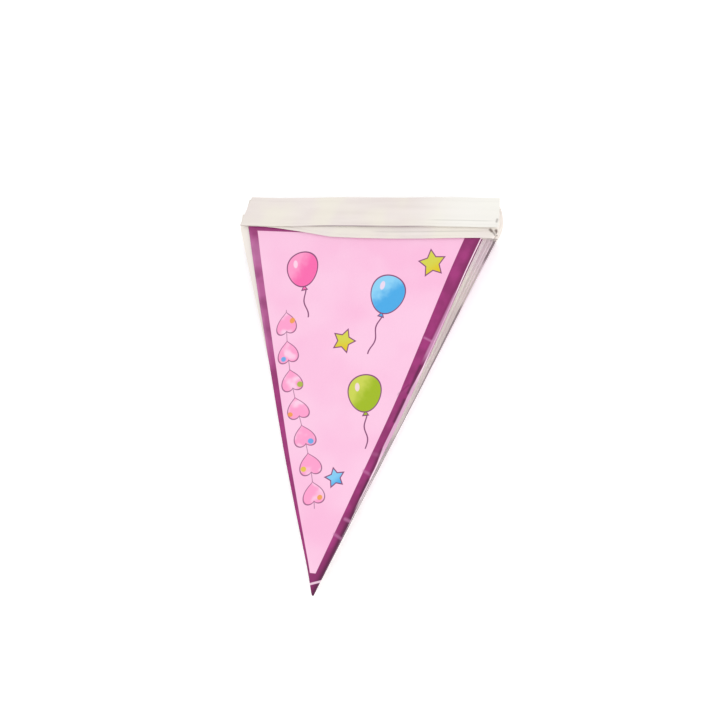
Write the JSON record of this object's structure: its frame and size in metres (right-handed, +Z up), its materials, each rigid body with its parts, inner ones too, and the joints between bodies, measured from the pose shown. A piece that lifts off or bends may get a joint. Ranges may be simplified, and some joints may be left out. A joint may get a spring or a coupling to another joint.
{
  "type": "folded plastic pennant bunting",
  "caption": "String of triangular plastic film pennants on a white heading tape, folded back and forth into a flat stack.",
  "frame": {"origin": "on the surface that the stack lies on, under the middle of its box", "axes": "+Z up, +Y from the pennants' tips to the heading tape, +X along the tape to the right"},
  "size_m": [0.219, 0.3174, 0.0299],
  "materials": {
    "printed_film": "satin printed film",
    "film_back": "plain film back, satin",
    "tape_film": "white film tape, satin"
  },
  "bodies": {
    "root": {"heading_tape": "tape_film", "pennant_01": "printed_film", "pennant_02": "film_back", "pennant_03": "printed_film", "pennant_04": "film_back", "pennant_05": "printed_film", "pennant_06": "film_back", "pennant_07": "printed_film", "pennant_08": "film_back", "pennant_09": "printed_film", "pennant_10": "film_back"}
  },
  "joints": []
}
